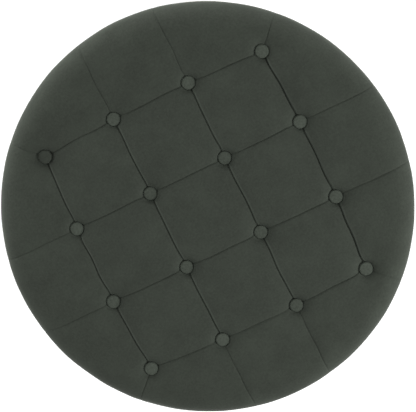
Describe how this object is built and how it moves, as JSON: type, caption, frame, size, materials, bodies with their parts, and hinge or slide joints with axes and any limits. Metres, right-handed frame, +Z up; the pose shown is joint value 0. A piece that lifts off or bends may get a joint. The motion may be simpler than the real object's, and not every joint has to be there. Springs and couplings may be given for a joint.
{
  "type": "round storage ottoman",
  "caption": "Round upholstered storage ottoman: a velvet drum on four short feet, with a padded button-tufted lid that hinges up at the rear.",
  "frame": {"origin": "on the floor, at the centre of the drum", "axes": "+Z up; +Y towards the hinge at the rear; X along the hinge, so the button grid runs along X and Y"},
  "size_m": [0.76, 0.76, 0.43],
  "materials": {
    "velvet": "short-pile polyester velvet, dark grey-green",
    "stained_beech": "turned beech, dark stain, satin lacquer",
    "plywood": "birch plywood, sanded, unfinished",
    "bent_plywood": "three-ply bending plywood, unfinished",
    "pine": "planed pine",
    "zinc_steel": "bright zinc-plated steel",
    "nylon": "moulded black nylon",
    "rubber": "soft clear bumper rubber",
    "wadding": "polyester wadding",
    "foam": "cut polyurethane foam",
    "lining_cloth": "black woven lining on card",
    "black_underlining": "black spunbonded polypropylene",
    "twine": "waxed nylon tufting twine"
  },
  "bodies": {
    "drum": {"foot_rear_right": "stained_beech", "foot_rear_left": "stained_beech", "foot_front_left": "stained_beech", "foot_front_right": "stained_beech", "foot_bolts": "zinc_steel", "tee_nuts": "zinc_steel", "foot_glides": "nylon", "base_board": "plywood", "wall_panel_front": "bent_plywood", "wall_panel_rear": "bent_plywood", "rim_hoop": "plywood", "wall_battens": "pine", "drum_wadding": "wadding", "drum_cover": "velvet", "wall_lining": "lining_cloth", "floor_lining": "lining_cloth", "dust_cover": "black_underlining", "rim_bumpers": "rubber", "hinge_leaf_drum": "zinc_steel", "hinge_pin": "zinc_steel", "stay_posts": "pine", "stay_plates": "zinc_steel", "stay_drum_rivets": "zinc_steel", "drum_screws": "zinc_steel"},
    "lid": {"lid_board": "plywood", "lid_foam": "foam", "lid_wadding": "wadding", "lid_cover": "velvet", "button_1_1": "velvet", "button_1_2": "velvet", "button_1_3": "velvet", "button_1_4": "velvet", "button_2_1": "velvet", "button_2_2": "velvet", "button_2_3": "velvet", "button_2_4": "velvet", "button_3_1": "velvet", "button_3_2": "velvet", "button_3_3": "velvet", "button_3_4": "velvet", "button_4_1": "velvet", "button_4_2": "velvet", "button_4_3": "velvet", "button_4_4": "velvet", "button_backs": "zinc_steel", "tufting_twine": "twine", "tie_off_washers": "zinc_steel", "lid_underlining": "black_underlining", "cover_staples": "zinc_steel", "hinge_leaf_lid": "zinc_steel", "stay_lid_brackets": "zinc_steel", "stay_lid_rivets": "zinc_steel", "lid_screws": "zinc_steel"},
    "stay_lower_right": {"stay_lower_link_right": "zinc_steel", "stay_elbow_rivet_right": "zinc_steel"},
    "stay_upper_right": {"stay_upper_link_right": "zinc_steel"},
    "stay_lower_left": {"stay_lower_link_left": "zinc_steel", "stay_elbow_rivet_left": "zinc_steel"},
    "stay_upper_left": {"stay_upper_link_left": "zinc_steel"}
  },
  "joints": [
    {"name": "lid_hinge", "type": "hinge", "parent": "drum", "child": "lid", "pos_m": [0, 0.3715, 0.3332], "axis": [-1, 0, 0], "range_deg": [0, 80]},
    {"name": "stay_drum_pivot_right", "type": "hinge", "parent": "drum", "child": "stay_lower_right", "pos_m": [0.151, 0.2315, 0.1932], "axis": [-1, 0, 0], "range_deg": [0, 113.04]},
    {"name": "stay_elbow_right", "type": "hinge", "parent": "stay_lower_right", "child": "stay_upper_right", "pos_m": [0.1498, 0.09573, 0.16679], "axis": [-1, 0, 0], "range_deg": [-130.12, 0]},
    {"name": "stay_drum_pivot_left", "type": "hinge", "parent": "drum", "child": "stay_lower_left", "pos_m": [-0.151, 0.2315, 0.1932], "axis": [-1, 0, 0], "range_deg": [0, 113.04]},
    {"name": "stay_elbow_left", "type": "hinge", "parent": "stay_lower_left", "child": "stay_upper_left", "pos_m": [-0.1498, 0.09573, 0.16679], "axis": [-1, 0, 0], "range_deg": [-130.12, 0]}
  ],
  "couplings": [
    {"joint": "stay_drum_pivot_right", "follows": "lid_hinge", "ratio": 1.413},
    {"joint": "stay_elbow_right", "follows": "lid_hinge", "ratio": -1.6264},
    {"joint": "stay_drum_pivot_left", "follows": "lid_hinge", "ratio": 1.413},
    {"joint": "stay_elbow_left", "follows": "lid_hinge", "ratio": -1.6264}
  ]
}
